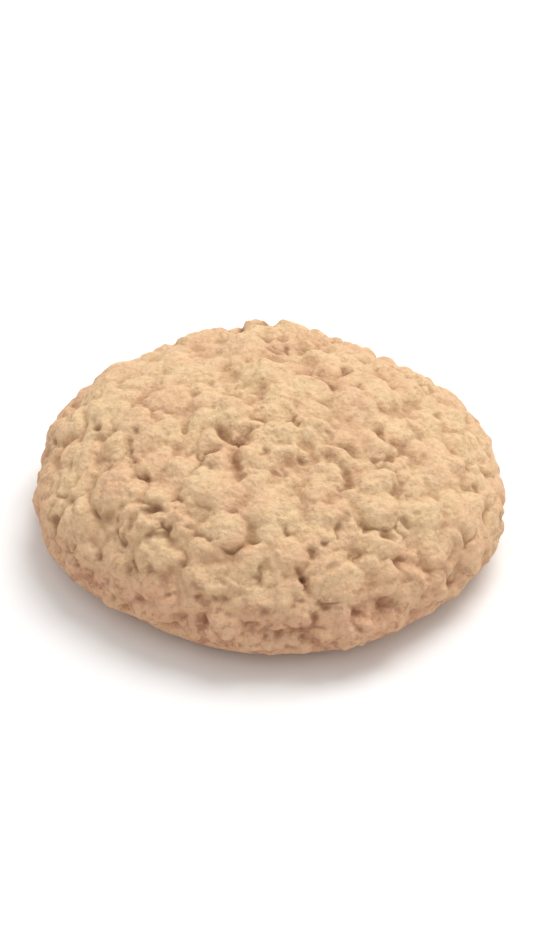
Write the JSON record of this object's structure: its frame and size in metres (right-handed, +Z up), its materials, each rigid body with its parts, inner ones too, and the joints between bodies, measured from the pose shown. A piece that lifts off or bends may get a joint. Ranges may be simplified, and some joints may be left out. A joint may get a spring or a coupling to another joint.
{
  "type": "amaretti cookie",
  "caption": "Round crisp almond biscuit with a domed, cracked and lumpy crust, sides that round under, and a flat base to rest on.",
  "frame": {"origin": "middle of the cookie's box at the level of its flat base", "axes": "+Z up from the base to the crown, -Y towards the side that shows, +X to its right along the longest width"},
  "size_m": [0.052, 0.0506, 0.0175],
  "materials": {
    "crust": "matte, dry baked almond and sugar crust, sandy tan, browner in its cracks and under its sides"
  },
  "bodies": {
    "root": {"cookie": "crust"}
  },
  "joints": []
}
